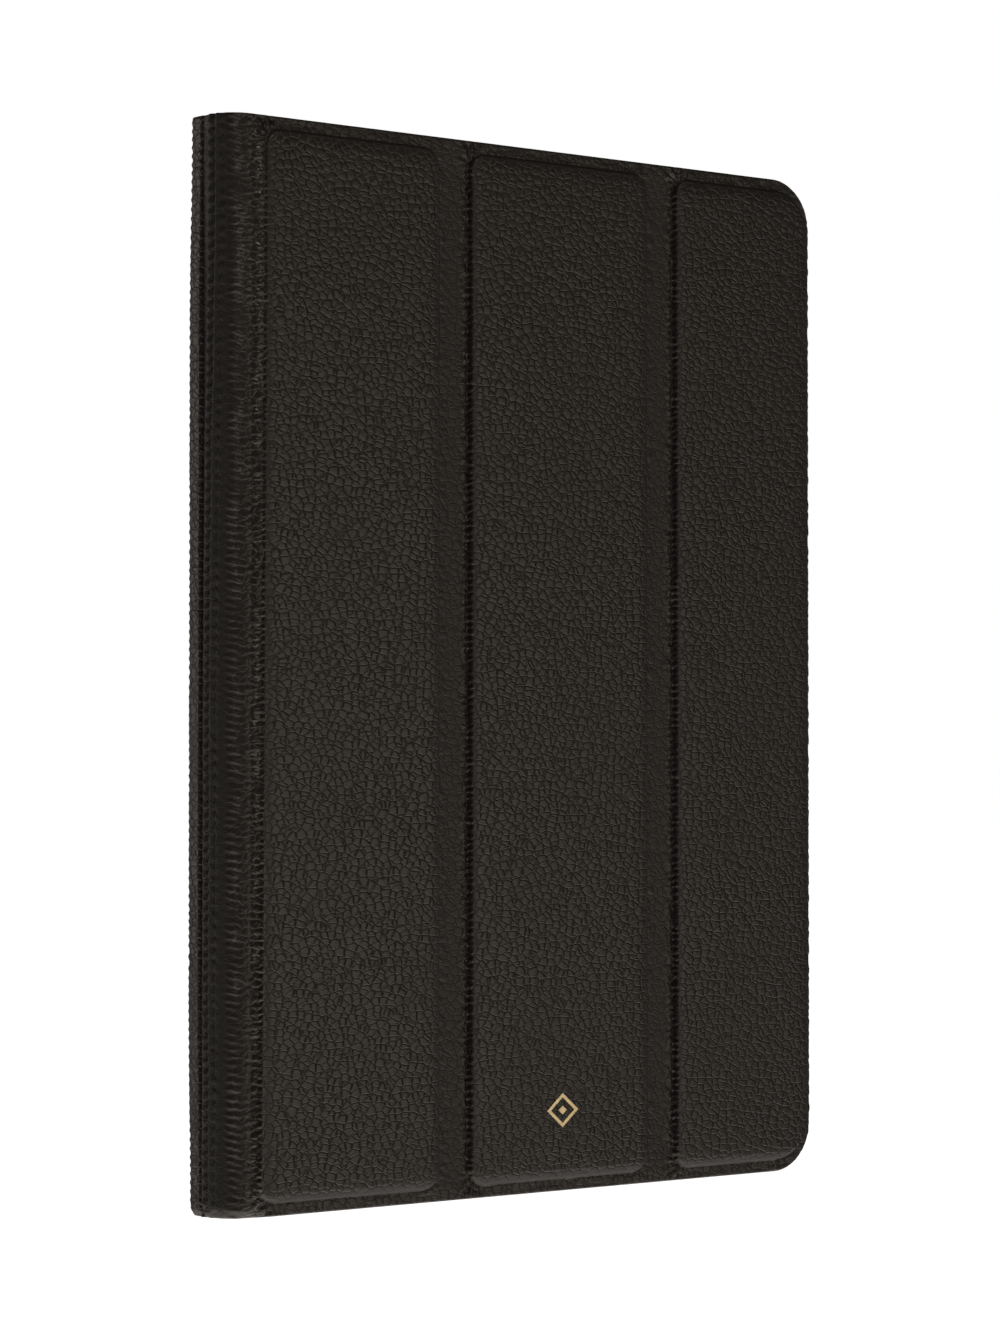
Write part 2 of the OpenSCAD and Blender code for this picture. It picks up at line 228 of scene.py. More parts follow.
def pebbled_hide(name, tone, cell=2.0, depth=0.195):
    """Full-grain hide: rounded pebbles with fine creases between them, fainter where drawn thin. The
    colour is darkened in the creases and where the grain is drawn thin, as painted shade.
    """
    hide = Finish(name, Specular_IOR_Level=0.5, Specular_Tint=WAX_TINT)
    grain = hide.attribute("grain")
    polish = hide.attribute("polish")
    loose = hide.wobbled(2.6, 0.5)
    squat = hide.add("ShaderNodeVectorMath", {"operation": "MULTIPLY"}, {0: loose, 1: (0.9, 0.9, 1.25)})
    wide = hide.noise(26.0, 3.0)
    edge = hide.cells(cell, squat)
    core = hide.cells(cell, squat, "F1")
    small = hide.cells(cell * 0.5, squat, "F1")
    fibre = hide.noise(0.4, 3.0, 0.6)
    patch = hide.ramp(wide, 0.36, 0.64)
    dome = 1 - 1.3 * core ** 2.0
    lip = 1 - (1 - hide.clip(edge, 0.0, 0.2)) ** 2.0
    crumb = 1 - 1.4 * small ** 2.0
    pebble = 0.4 * dome + 0.6 * lip
    relief = pebble * (0.85 + 0.15 * patch) + crumb * (0.16 - 0.08 * patch)
    height = relief * grain + fibre * 0.05
    crease_shade = hide.ramp(edge, 0.0, 0.10)
    # Painted shade: the colour goes darker in the creases between pebbles and where the grain is drawn
    # thin.
    hide.feed("Base Color", hide.mix(crease_shade * (0.4 + 0.6 * grain), shade(tone, 0.7), tone))
    satin = hide.ramp(height + 0.4 * wide, 0.3, 1.3, 0.45, 0.36)
    hide.feed("Roughness", satin + 0.45 * (1 - grain) - 0.2 * polish)
    hide.emboss(height, depth)
    return hide.material


def microfibre(name, tone):
    """Short-napped lining with soft brushed patches."""
    nap = Finish(name, Sheen_Weight=0.35, Sheen_Roughness=0.5, Specular_IOR_Level=0.2)
    brushed = nap.noise(9.0, 3.0)
    fuzz = nap.noise(0.22, 3.0, 0.65)
    tuft = nap.cells(0.42, nap.wobbled(1.2, 0.2), "F1")
    lie = nap.ramp(0.6 * brushed + 0.4 * fuzz, 0.3, 0.7)
    nap.feed("Base Color", nap.mix(lie, shade(tone, 0.72), shade(tone, 1.25)))
    nap.feed("Roughness", nap.ramp(brushed, 0.3, 0.7, 0.98, 0.84))
    nap.emboss(0.6 * fuzz + 0.4 * tuft, 0.06)
    return nap.material


def moulded(name, tone):
    """Fine spark-textured plastic."""
    shell = Finish(name, Specular_IOR_Level=0.5)
    spark = shell.noise(0.28, 3.0, 0.7)
    cloud = shell.noise(14.0, 2.0)
    shell.feed("Base Color", shell.mix(cloud, shade(tone, 0.85), tone))
    shell.feed("Roughness", shell.ramp(0.6 * spark + 0.4 * cloud, 0.3, 0.7, 0.42, 0.58))
    shell.emboss(spark, 0.03)
    return shell.material


def spun_thread(name, tone):
    """Waxed thread with its strands wound round it. The grooves between the strands are painted darker, as
    painted shade.
    """
    thread = Finish(name, Specular_IOR_Level=0.35, Specular_Tint=WAX_TINT)
    strands = thread.add(
        "ShaderNodeTexWave",
        {"wave_type": "BANDS", "bands_direction": "DIAGONAL"},
        {"Vector": thread.place, "Scale": 0.45 / MM, "Distortion": 1.5, "Detail": 1.0},
        output="Fac",
    )
    # Painted shade: the colour is darker in the grooves between the strands.
    thread.feed("Base Color", thread.mix(strands, shade(tone, 0.7), tone))
    thread.feed("Roughness", thread.ramp(strands, 0.0, 1.0, 0.8, 0.6))
    thread.emboss(strands, 0.05)
    return thread.material


def greyboard(name, tone):
    """Pressed board with flecks of fibre."""
    board = Finish(name, Specular_IOR_Level=0.3)
    pulp = board.noise(1.4, 4.0, 0.65)
    fleck = board.noise(0.5, 2.0, 0.5)
    speckle = board.ramp(0.5 * pulp + 0.5 * fleck, 0.35, 0.62)
    board.feed("Base Color", board.mix(speckle, shade(tone, 0.7), tone))
    board.feed("Roughness", board.ramp(pulp, 0.3, 0.7, 0.9, 0.78))
    board.emboss(pulp, 0.05)
    return board.material


def plated(name, tone, rough):
    """Plated metal with faint polishing marks."""
    plate = Finish(name, Metallic=1.0)
    marks = plate.noise(0.9, 4.0, 0.6)
    plate.feed("Base Color", plate.mix(marks, shade(tone, 0.8), tone))
    plate.feed("Roughness", plate.ramp(marks, 0.3, 0.7, rough * 0.75, rough * 1.3))
    plate.emboss(marks, 0.01)
    return plate.material


HIDE = pebbled_hide("black_pebbled_hide", grey(0.0095, 0.18))
HIDE_TURNED = pebbled_hide("black_hide_turned_edge", grey(0.0105, 0.16), cell=1.8, depth=0.22)
HIDE_SEAM = pebbled_hide("black_hide_at_seam", grey(0.0095, 0.17), cell=1.6, depth=0.18)
NAP = microfibre("charcoal_microfibre", grey(0.045, 0.02))
SHELL = moulded("black_moulded_plastic", grey(0.018, 0.0))
THREAD = spun_thread("black_waxed_thread", grey(0.013, 0.2))
BOARD = greyboard("grey_board", grey(0.30, 0.12))
NICKEL = plated("nickel_plate", (0.62, 0.61, 0.58, 1.0), 0.28)
GOLD = plated("pale_gold_foil", (0.80, 0.62, 0.33, 1.0), 0.34)


# ---------------------------------------------------------------------------------------------
# Making sheets
# ---------------------------------------------------------------------------------------------
def clear_choice():
    """Leaves object mode with nothing chosen."""
    if bpy.context.object and bpy.context.object.mode != "OBJECT":
        bpy.ops.object.mode_set(mode="OBJECT")
    bpy.ops.object.select_all(action="DESELECT")


def choose(piece):
    """Makes one piece the chosen and active one."""
    clear_choice()
    piece.select_set(True)
    bpy.context.view_layer.objects.active = piece


def run(start, *legs):
    """Stations from start through (end, step) legs, each leg in equal steps no longer than asked."""
    stops = [start]
    for end, step in legs:
        count = max(1, math.ceil((end - stops[-1]) / step - 1e-9))
        stops += list(np.linspace(stops[-1], end, count + 1)[1:])
    return np.array(stops)


# Distances from a sheet's rounded edge to the rows that round it, and to the first row of its flat.
EDGE_ROWS = np.array([0.0, 0.03, 0.10, 0.20, 0.34])
EDGE_RUN = 0.52


def heights(low, high, step, ends=12.0, end_step=None):
    """Rows up a sheet, close together at its rounded ends."""
    legs = [(low + ends, end_step or step), (high - ends, step), (high - EDGE_RUN, end_step or step)]
    middle = run(low + EDGE_RUN, *legs)
    return np.concatenate([low + EDGE_ROWS, middle, high - EDGE_ROWS[::-1]])


def coordinates(piece):
    """The piece's vertices as rows of x, y and z."""
    co = np.empty(len(piece.data.vertices) * 3)
    piece.data.vertices.foreach_get("co", co)
    return co.reshape(-1, 3)


def sheet(name, along, up, face, behind, material, grain=None):
    """A closed sheet from a grid. Face and behind give the points of its two sides, and grain gives the
    strength of its grain and its polish."""
    clear_choice()
    bpy.ops.mesh.primitive_grid_add(x_subdivisions=len(along) - 1, y_subdivisions=len(up) - 1, size=1)
    piece = bpy.context.object
    piece.name = name
    flat = coordinates(piece)
    column = np.rint((flat[:, 0] + 0.5) * (len(along) - 1)).astype(int)
    row = np.rint((flat[:, 1] + 0.5) * (len(up) - 1)).astype(int)
    s, z = along[column], up[row]
    bpy.ops.object.mode_set(mode="EDIT")
    bpy.ops.mesh.select_all(action="SELECT")
    bpy.ops.mesh.extrude_region_move()
    bpy.ops.object.mode_set(mode="OBJECT")
    both = np.concatenate([behind(s, z), face(s, z)])
    piece.data.vertices.foreach_set("co", both.ravel())
    piece.data.update()
    if grain:
        for label, values in zip(("grain", "polish"), grain(s, z)):
            strength = piece.data.attributes.new(label, "FLOAT", "POINT")
            strength.data.foreach_set("value", np.tile(values, 2).astype(np.float32))
    bpy.ops.object.mode_set(mode="EDIT")
    bpy.ops.mesh.select_all(action="SELECT")
    bpy.ops.mesh.normals_make_consistent(inside=False)
    bpy.ops.object.mode_set(mode="OBJECT")
    bpy.ops.object.shade_smooth_by_angle(angle=math.radians(50))
    piece.data.materials.clear()
    piece.data.materials.append(material)
    return piece


# ---------------------------------------------------------------------------------------------
# Soft noise for creases, the same on every run
# ---------------------------------------------------------------------------------------------
def lattice(x, y, seed):
    """Smooth noise from -1 to 1 over arrays of positions, one lump per unit."""
    table = np.random.default_rng(seed).uniform(-1, 1, (64, 64))
    xi, yi = np.floor(x).astype(int), np.floor(y).astype(int)
    fx, fy = x - xi, y - yi
    fx, fy = fx * fx * (3 - 2 * fx), fy * fy * (3 - 2 * fy)

    def corner(i, j):
        return table[(xi + i) % 64, (yi + j) % 64]

    low = corner(0, 0) * (1 - fx) + corner(1, 0) * fx
    high = corner(0, 1) * (1 - fx) + corner(1, 1) * fx
    return low * (1 - fy) + high * fy


def ease(x, low, high):
    """0 below low, 1 above high and smooth between them."""
    t = np.clip((x - low) / (high - low), 0, 1)
    return t * t * (3 - 2 * t)


def hump(x, centre, half):
    """A smooth bump from 0 to 1 about a centre."""
    return np.exp(-(((x - centre) / half) ** 2))


# ---------------------------------------------------------------------------------------------
# The cover's hide
# ---------------------------------------------------------------------------------------------
SIDE_L = FLAP_D - SPINE_R
ARC_L = SPINE_R * math.pi / 2
FLAT_S = SIDE_L + ARC_L


def s_of(a):
    """Where a plan position on the flat front lies on the cover's path."""
    return FLAT_S + a - SPINE_R


def a_of(s):
    """The plan position of a place on the cover's flat front."""
    return s - FLAT_S + SPINE_R


def from_ends(z):
    """Distance to the nearer end of the case."""
    return np.minimum(z, CASE_H - z)


def path(s):
    """The cover's path from the flap's edge round the spine to the free edge: point and outward normal."""
    turn = np.clip((s - SIDE_L) / SPINE_R, 0, math.pi / 2)
    side = np.clip(SIDE_L - s, 0, None)
    front = np.clip(s - FLAT_S, 0, None)
    a = SPINE_R - SPINE_R * np.cos(turn) + front
    d = SPINE_R - SPINE_R * np.sin(turn) + side
    return a, d, -np.cos(turn), -np.sin(turn)


def offset(way, out, z):
    """Points at a distance outward from a path, given its place (a, d) and its normal."""
    a, d, na, nd = way
    return placed(a + na * out, d + nd * out, z)


def inside_panel(a, z, rect, r_spine, r_free):
    """How far inside a panel's rounded outline a point is; less than 0 outside."""
    a0, a1, z0, z1 = rect
    middle, centre = (a0 + a1) / 2, (z0 + z1) / 2
    r = np.where(a > middle, r_free, r_spine)
    qa = np.abs(a - middle) - (a1 - a0) / 2 + r
    qz = np.abs(z - centre) - (z1 - z0) / 2 + r
    outside = np.hypot(np.maximum(qa, 0), np.maximum(qz, 0))
    return r - outside - np.minimum(np.maximum(qa, qz), 0)


def inside_case(a, z, inset=0.0):
    """How far inside the cover's outline a point is."""
    r = CORNER_R - inset
    e_free, e_low, e_high = CASE_W - inset - a, z - inset, CASE_H - inset - z
    e_end = np.minimum(e_low, e_high)
    corner = (e_free < r) & (e_end < r)
    rounded = r - np.hypot(r - e_free, r - e_end)
    return np.where(corner, rounded, np.minimum(e_free, e_end))


def free_edge(z, inset=0.0):
    """Where the free edge lies at a height."""
    r = CORNER_R - inset
    e = np.clip(np.minimum(z - inset, CASE_H - inset - z), 0, r)
    return CASE_W - inset - r + np.sqrt(np.maximum(r * r - (r - e) ** 2, 0))


def drawn_in(a, z, inset=0.0):
    """Draws the free end of a sheet in to its rounded corners."""
    start = CASE_W - CORNER_R - 5
    share = np.clip((a - start) / (CASE_W - inset - start), 0, 1)
    return np.where(a > start, start + share * (free_edge(z, inset) - start), a)


def edge_roll(e, r=0.45):
    """How far a rounded edge falls back at distance e from it."""
    return r - np.sqrt(np.maximum(r * r - (r - np.clip(e, 0, r)) ** 2, 0))


def seam_drift(z):
    """The sewn seam isn't quite straight: it leans towards the front near the top."""
    return 1.7 * ease(z, 0.45 * CASE_H, CASE_H) + 0.12 * lattice(z / 14, z * 0, 5)


# The worked hide. Heights and depths are in millimetres.
BEAD_D = 8.5
BEAD_H = 0.46
ROW_DEPTH = 0.48
RIDGE_D = 6.35
RIDGE_H = 0.16
SECOND_ROW_DEPTH = 0.16
FLAP_EDGE_DROP = 0.30
WRINKLE_H = 0.27
WRINKLE_PITCH = 1.85
WRINKLE_DEG = 57
EDGE_SLOPE = 0.6
SOFT_SLOPE = 0.35
STEP_SHARE = 0.68
GATHER_H = 0.17
FAN_H = 0.32
FOLD_SAG = 0.3
FRONT_TOE_CURL = 1.2
BACK_TOE_CURL = 1.0
TOE_H = 3.2


def seam_relief(s, z):
    """Flap edge, cord-like bead, stitch row, ridge and second row along the seam."""
    d = FLAP_D - s
    at = d + seam_drift(z)
    beat = np.cos(2 * math.pi * (z - FIRST_STITCH_Z) / STITCH_PITCH)
    bead = BEAD_H * hump(at, BEAD_D, 0.6) * (0.62 - 0.38 * beat)
    row = -ROW_DEPTH * hump(at, ROW_D, 0.42) * (0.72 + 0.28 * beat)
    ridge = RIDGE_H * hump(at, RIDGE_D, 0.45) * (1 + 0.35 * lattice(z / 1.3, z * 0, 7))
    second = -SECOND_ROW_DEPTH * hump(at, SECOND_ROW_D, 0.36)
    pull = np.cos(2 * math.pi * z / 2.9 + 1.2 * lattice(z / 6, z * 0, 9))
    pucker = 0.12 * hump(at, SECOND_ROW_D - 0.15, 0.75) * pull
    edge = -FLAP_EDGE_DROP * ease(at, 9.2, 9.75)
    return (bead + row + ridge + second + pucker + edge) * ease(d, -40, -3.5)


def hinge_wrinkles(s, z):
    """Short level creases where the spine meets the first panel, crossed by finer ones."""
    turn = np.degrees((s - SIDE_L) / SPINE_R)
    sway = 0.9 * lattice(z / 9, s / 5, 11) + 0.35 * lattice(z / 3, s / 2.2, 12)
    wave = np.cos(2 * math.pi * (z + 0.22 * (s - 10)) / WRINKLE_PITCH + 2.2 * sway)
    sharp = np.maximum(wave, -0.2) ** 3 * 0.6 + 0.4 * wave
    centre = WRINKLE_DEG + 4 * ease(z, 0.5 * CASE_H, CASE_H) + 6 * lattice(z / 7, z * 0, 13)
    strength = WRINKLE_H * (0.75 + 0.45 * lattice(z / 5, z * 0, 14))
    beside = np.cos(2 * math.pi * z / 1.7 + 2.0 * lattice(z / 6, z * 0, 17))
    fine = 0.10 * hump(turn, 84, 7) * beside * (0.7 + 0.6 * lattice(z / 3, s / 6, 15))
    broad = 0.16 * hump(turn, 60, 26) * lattice(z / 24, s / 30, 16)
    return hump(turn, centre, 13) * strength * sharp + fine + broad


def panel_reach(a, z, n):
    """How far inside a raised panel a point is. Gathers draw the panel's spine side in and out, and the
    first panel's spine side leans."""
    start = PANELS[n][0]
    lean = (0.3 + 1.7 * (1 - z / CASE_H)) * (1 - ease(a, start, start + 6)) * (n == 0)
    wave = np.cos(2 * math.pi * z / 1.65 + 2.2 * lattice(z / 4, 7.0 * n + 0 * z, 25))
    uneven = 0.75 + 0.5 * lattice(z / 3, 0 * z, 26 + n)
    gathered = GATHER_H * wave * uneven * (1 - ease(a, start + 0.3, start + 1.6))
    r_free = PANEL_R if n < 2 else FREE_PANEL_R
    return inside_panel(a + lean + gathered, z, PANELS[n], PANEL_R, r_free)


def panel_rise(a, z, n, e):
    """Height of a raised panel: a rounded step and a soft pillow, lower at its ends. The first panel's
    spine side is softer and has a shoulder beside it."""
    start, _, low, high = PANELS[n]
    soft = (1 - ease(a, start + 1.5, start + 5)) * (n == 0)
    t = np.clip(e / (EDGE_SLOPE + SOFT_SLOPE * soft), 0, 1)
    step = (1 - soft) * (1 - (1 - t) ** 2.2) ** (1 / 1.3) + soft * ease(t, 0, 1)
    pillow = 0.10 * (1 - np.exp(-np.maximum(e, 0) / 1.5))
    below_top = 0.22 * (1 - np.exp(-np.maximum(high - z, 0) / 2.0))
    foot = -0.52 * np.exp(-np.maximum(z - low, 0) / 1.4) * ease(e, 0, 0.5)
    raised = RELIEF * (STEP_SHARE * step + pillow + below_top + foot) * (e > 0)
    shoulder = 0.8 * hump(a, start - 0.6, 1.9) * (n == 0) * ease(from_ends(z), 0, 6)
    return np.maximum(raised, shoulder)


def groove_gathers(a, z, n, e):
    """The groove beside a panel's spine side and the small gathers in it."""
    start, end, _, _ = PANELS[n]
    near = 1 - ease(a, start + 0.2, start + 3.0)
    beside = ease(a, start - 4.5, start - 2.5) * (1 - ease(a, end + 2, end + 4))
    groove = -(0.03 + (0.0 if n == 0 else 0.12) * near) * hump(-e, 0.35, 0.38)
    wave = np.cos(2 * math.pi * z / 1.75 + 2.0 * lattice(z / 5, a / 6, 21))
    uneven = 0.8 + 0.5 * lattice(z / 4, a / 9, 22)
    lumps = 0.19 * hump(-e, 1.4, 1.5) * lattice(z / 0.85, a / 1.2, 24) * (e < 0.7)
    return (groove + GATHER_H * near * hump(-e, 0.6, 1.0) * wave * uneven + lumps) * beside


def corner_gathers(a, z, rect):
    """Gathers that fan out of a panel's corners on its spine side."""
    total = 0.0 * a
    for corner_z, way in ((rect[2], -1), (rect[3], 1)):
        da = a - (rect[0] + 2.2)
        dz = (z - (corner_z - way * 2.2)) * way
        angle = np.arctan2(dz, -da)
        fan = np.cos(11 * angle + 2.5 * lattice(a / 3, z / 3, 23))
        spread = ease(angle, -0.5, 0.3) * (1 - ease(angle, 1.7, 2.4))
        total = total + FAN_H * hump(np.hypot(da, dz), 3.7, 1.5) * fan * spread
    return total


def fold_sag(a, z, left, right):
    """How far the hide sags in the strip between two panels."""
    edge = PANELS[left][1]
    share = np.clip((a - edge) / (PANELS[right][0] - edge), 0, 1)
    inner = ease(z, 1, 9) * (1 - ease(z, CASE_H - 10, CASE_H - 1))
    return FOLD_SAG * inner * share * (1 - share) ** 0.5 * 2.2 * (a > edge)


def toe_curl(s, z, flat_from, flat_to, depth):
    """How far the lower end of the spine curls in. It fades out between two stations."""
    return depth * (1 - ease(s, flat_from, flat_to)) * (1 - np.clip(z / TOE_H, 0, 1)) ** 2.2


def cover_relief(s, z):
    """Height of the hide's face over the cover's path, in millimetres."""
    on_front = s > FLAT_S
    a = np.where(on_front, a_of(s), 0.5 * SPINE_R)
    rise = 0.0 * s
    for n, rect in enumerate(PANELS):
        e = panel_reach(a, z, n)
        puff = 0.07 * (1 - np.exp(-np.maximum(e, 0) / 5))
        puff = puff + 0.05 * lattice(a / 17, z / 17, 31 + n) * ease(e, 0, 5)
        worked = groove_gathers(a, z, n, e) + np.where(e < 0, corner_gathers(a, z, rect), puff)
        rise = rise + (panel_rise(a, z, n, e) + worked) * ease(s, FLAT_S - 3, FLAT_S + 0.3)
    for left, right in ((0, 1), (1, 2)):
        rise = rise - fold_sag(a, z, left, right)
    spine = (1 - ease(s, FLAT_S + 0.5, FLAT_S + 2.5)) * ease(s, SIDE_L + 3, SIDE_L + 6)
    rise = rise + hinge_wrinkles(s, z) * spine
    rise = rise + seam_relief(s, z) * (s < SIDE_L + 5.8)
    e = np.where(on_front, inside_case(np.where(on_front, a, 0), z), from_ends(z))
    return rise - edge_roll(e) - toe_curl(s, z, FLAT_S - 1, FLAT_S + 6, FRONT_TOE_CURL)


def cover_grain(s, z):
    """Grain: full on the panels, drawn thin over the spine, folds and borders, where the thin grain also
    paints the hide darker as painted shade. Polish: on the creases.
    """
    a = a_of(s)
    inside = np.max([inside_panel(a, z, rect, PANEL_R, PANEL_R) for rect in PANELS], axis=0)
    toe = np.exp(-np.maximum(z - PANELS[0][2], 0) / 1.6) * (inside > 0)
    on_spine = 0.38 * hump(s, SIDE_L + 5.0, 4.5)
    grain = 0.72 + 0.28 * ease(inside, -0.4, 2.4) - 0.30 * hump(inside, 0.9, 0.9) - on_spine - 0.4 * toe
    edge = s_of(PANELS[0][0])
    polish = ease(s, SIDE_L + 4.2, SIDE_L + 6) * (1 - ease(s, edge - 0.8, edge))
    for rect in PANELS:
        polish = polish + 0.8 * hump(a, rect[0] - 0.9, 1.3)
    rims = 0.6 * (1 - ease(from_ends(z), 2.6, 3.6)) + 0.75 * hump(inside, 0.8, 0.9)
    return grain, np.clip(polish + 0.8 * toe + rims, 0, 1)


def along_cover(s, z, inset=0.0):
    """Draws a place on the cover in to the rounded free corners."""
    return np.where(s > FLAT_S, s_of(drawn_in(a_of(s), z, inset)), s)


def hide_face(s, z):
    s = along_cover(s, z)
    return offset(path(s), cover_relief(s, z), z)


def hide_behind(s, z):
    """The hide's flesh side. It is skived thin under the flap."""
    s = along_cover(s, z)
    h = cover_relief(s, z)
    skived = np.where(s < SIDE_L + 0.8, 0.78, LEATHER - 0.03)
    back = np.minimum(np.maximum(h - LEATHER, -skived), h - 0.25)
    return offset(path(s), back, z)


# The sheets also meet half way round the spine.
S_MID = SIDE_L + math.radians(45) * SPINE_R
S_SPLIT = [s_of(a) for a in SPLITS]
FINE = heights(0, CASE_H, 0.31)
MEDIUM = heights(0, CASE_H, 0.42, end_step=0.34)


def fold_stations(left, right):
    """Stations from inside one panel to inside the next, close together at the fold."""
    edge_l, edge_r = s_of(PANELS[left][1]), s_of(PANELS[right][0])
    legs = [(edge_l - 5, 2.6), (edge_l - 1.4, 0.5), (edge_l + 0.2, 0.2), (edge_r - 2, 0.5)]
    legs += [(edge_r + 1.4, 0.2), (edge_r + 5, 0.5), (S_SPLIT[right], 2.6)]
    return run(S_SPLIT[left], *legs)


def hinge_stations():
    """Stations from half way round the spine to inside the first panel, close together at its edge."""
    edge = s_of(PANELS[0][0])
    legs = [(edge - 2.4, 0.36), (edge + 1.4, 0.22), (edge + 5, 0.5), (S_SPLIT[0], 2.6)]
    return run(S_MID, *legs)


def free_stations():
    """Stations from inside the last panel to the free edge, close together at the panel's edge."""
    edge = s_of(PANELS[2][1])
    end = s_of(CASE_W)
    legs = [(edge - 11, 2.6), (edge - 1.4, 0.55), (edge + 0.3, 0.2), (end - 0.55, 0.3)]
    return np.concatenate([run(S_SPLIT[2], *legs), end - EDGE_ROWS[::-1]])


def bend(piece, first, second, start, end):
    """Bakes the piece's placement into its mesh. The bodies and plan positions it is given are not used.
    """
    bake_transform(piece)


seam_run = run(0, (SIDE_L + 3, 0.2), (S_MID, 0.34))
hide_seam = sheet("hide_seam", seam_run, FINE, hide_face, hide_behind, HIDE_SEAM, cover_grain)
hide_hinge = sheet("hide_hinge", hinge_stations(), FINE, hide_face, hide_behind, HIDE, cover_grain)
hide_fold_1 = sheet("hide_fold_1", fold_stations(0, 1), MEDIUM, hide_face, hide_behind, HIDE, cover_grain)
hide_fold_2 = sheet("hide_fold_2", fold_stations(1, 2), MEDIUM, hide_face, hide_behind, HIDE, cover_grain)
hide_free = sheet("hide_free_edge", free_stations(), MEDIUM, hide_face, hide_behind, HIDE, cover_grain)
HINGE_HALF = 1.1
FOLD_HALF = 1.7
SEAM_BEND = ((0, SEAM_D + 1.1), (0.3, SEAM_D - 1.3))
HINGE_BEND = ((HINGE_A - HINGE_HALF, 0), (HINGE_A + HINGE_HALF, 0))
FOLD_BEND = [((a - FOLD_HALF, 0), (a + FOLD_HALF, 0)) for a in FOLD_A]
bend(hide_seam, "back", "spine", *SEAM_BEND)
bend(hide_hinge, "spine", "panel_1", *HINGE_BEND)
bend(hide_fold_1, "panel_1", "panel_2", *FOLD_BEND[0])
bend(hide_fold_2, "panel_2", "panel_3", *FOLD_BEND[1])
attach(hide_free, "panel_3")
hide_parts("seam_flap", "spine_leather")
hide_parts("panel_1_leather")
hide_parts("panel_2_leather")
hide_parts("panel_3_leather")


# ---------------------------------------------------------------------------------------------
# The cover's lining
# ---------------------------------------------------------------------------------------------
def lining_press(s, z):
    """The lining sinks a little at the folds and along the boards' edges."""
    a = a_of(s)
    press = 0.0 * s
    for rect in PANELS:
        press = press + 0.10 * hump(inside_panel(a, z, rect, PANEL_R, PANEL_R), 0.8, 0.7)
    for fold in FOLD_A:
        press = press + 0.16 * hump(a, fold, 2.6)
    roll = edge_roll(inside_case(np.maximum(a, 0), z, LINING_IN), 0.25)
    return np.clip(press, 0, 0.3) + roll + 0.012 * lattice(a / 5, z / 5, 41)


def lining_face(s, z):
    s = along_cover(s, z, LINING_IN)
    return offset(path(s), -COVER + lining_press(s, z), z)


def lining_behind(s, z):
    s = along_cover(s, z, LINING_IN)
    return offset(path(s), -LEATHER - 0.01, z)


def lining_stations(first, last, fold):
    """Stations that are close together at a fold."""
    return run(first, (fold - 6, 2.0), (fold + 6, 0.45), (last, 2.0))


def lining_end():
    """Stations of the lining's free end, with its rounded edge."""
    middle = lining_stations(S_SPLIT[1], S_END - 12, s_of(FOLD_A[1]))
    end = run(S_END - 12, (S_END - 0.5, 0.6))[1:]
    return np.concatenate([middle, end, S_END - EDGE_ROWS[::-1]])


def lining_sheet(name, along):
    return sheet(name, along, LINING_ROWS, lining_face, lining_behind, NAP)


LINING_ROWS = heights(LINING_IN, CASE_H - LINING_IN, 1.3, 8, 0.7)
S_END = s_of(CASE_W - LINING_IN)
S_SEAM_IN = SIDE_L - 1.6
lining_seam = lining_sheet("lining_seam", run(S_SEAM_IN, (S_MID, 0.4)))
lining_hinge = lining_sheet("lining_hinge", lining_stations(S_MID, S_SPLIT[0], s_of(HINGE_A)))
lining_fold_1 = lining_sheet("lining_fold_1", lining_stations(S_SPLIT[0], S_SPLIT[1], s_of(FOLD_A[0])))
lining_fold_2 = lining_sheet("lining_fold_2", lining_end())
bend(lining_seam, "back", "spine", *SEAM_BEND)
bend(lining_hinge, "spine", "panel_1", *HINGE_BEND)
bend(lining_fold_1, "panel_1", "panel_2", *FOLD_BEND[0])
bend(lining_fold_2, "panel_2", "panel_3", *FOLD_BEND[1])
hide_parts("spine_lining")
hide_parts("panel_1_lining")
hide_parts("panel_2_lining")
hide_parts("panel_3_lining")


# ---------------------------------------------------------------------------------------------
# The back's hide
# ---------------------------------------------------------------------------------------------
TURN_R = 1.5
STRIP_A = 0.1
TUCK_A = 0.85
TUCK_D = 9.7
TUCK_S = 3.0
BACK_L = CASE_D - TURN_R
S_TURN = TUCK_S + BACK_L - TUCK_D
S_BACK = S_TURN + TURN_R * math.pi / 2
SPLIT_BACK = 10.0
WINDOW_IN = 17.8
WINDOW_A = CASE_W - WINDOW_IN
WINDOW_Z = CASE_H - WINDOW_IN
WINDOW_R = 7.0
HEM = 3.0
HEM_T = 2.5
CREASE_DEPTH = 0.18
CREASE_PITCH = 2.1
SWELL_ENDS = 0.35
SWELL_MIDDLE = 0.5
SWELL_MOST = 0.9


def back_path(s):
    """The back's path from the tongue under the flap round to the back face: point and outward normal."""
    turn = np.clip((s - S_TURN) / TURN_R, 0, math.pi / 2)
    side = np.clip(S_TURN - s, 0, None)
    away = np.clip(s - S_BACK, 0, None)
    a = STRIP_A + TURN_R - TURN_R * np.cos(turn) + away
    d = BACK_L - side + TURN_R * np.sin(turn)
    tucked = 1 - ease(d, FLAP_D - 0.1, FLAP_D + 0.55)
    return a + tucked * (TUCK_A - STRIP_A), d, -np.cos(turn), np.sin(turn)


def back_a(s):
    """The plan position of a place on the back face."""
    return s - S_BACK + STRIP_A + TURN_R


def back_s(a):
    """Where a plan position on the back face lies on the back's path."""
    return a - STRIP_A - TURN_R + S_BACK


def back_drawn(s, z):
    """Draws a place on the back in to the rounded free corners."""
    flat = s > S_BACK + 5
    return np.where(flat, back_s(drawn_in(back_a(s), z)), s)


def back_edge(a, s, z):
    """How far inside the back's outline a point is."""
    return np.where(s > S_BACK + 5, inside_case(np.maximum(a, 20), z), from_ends(z))


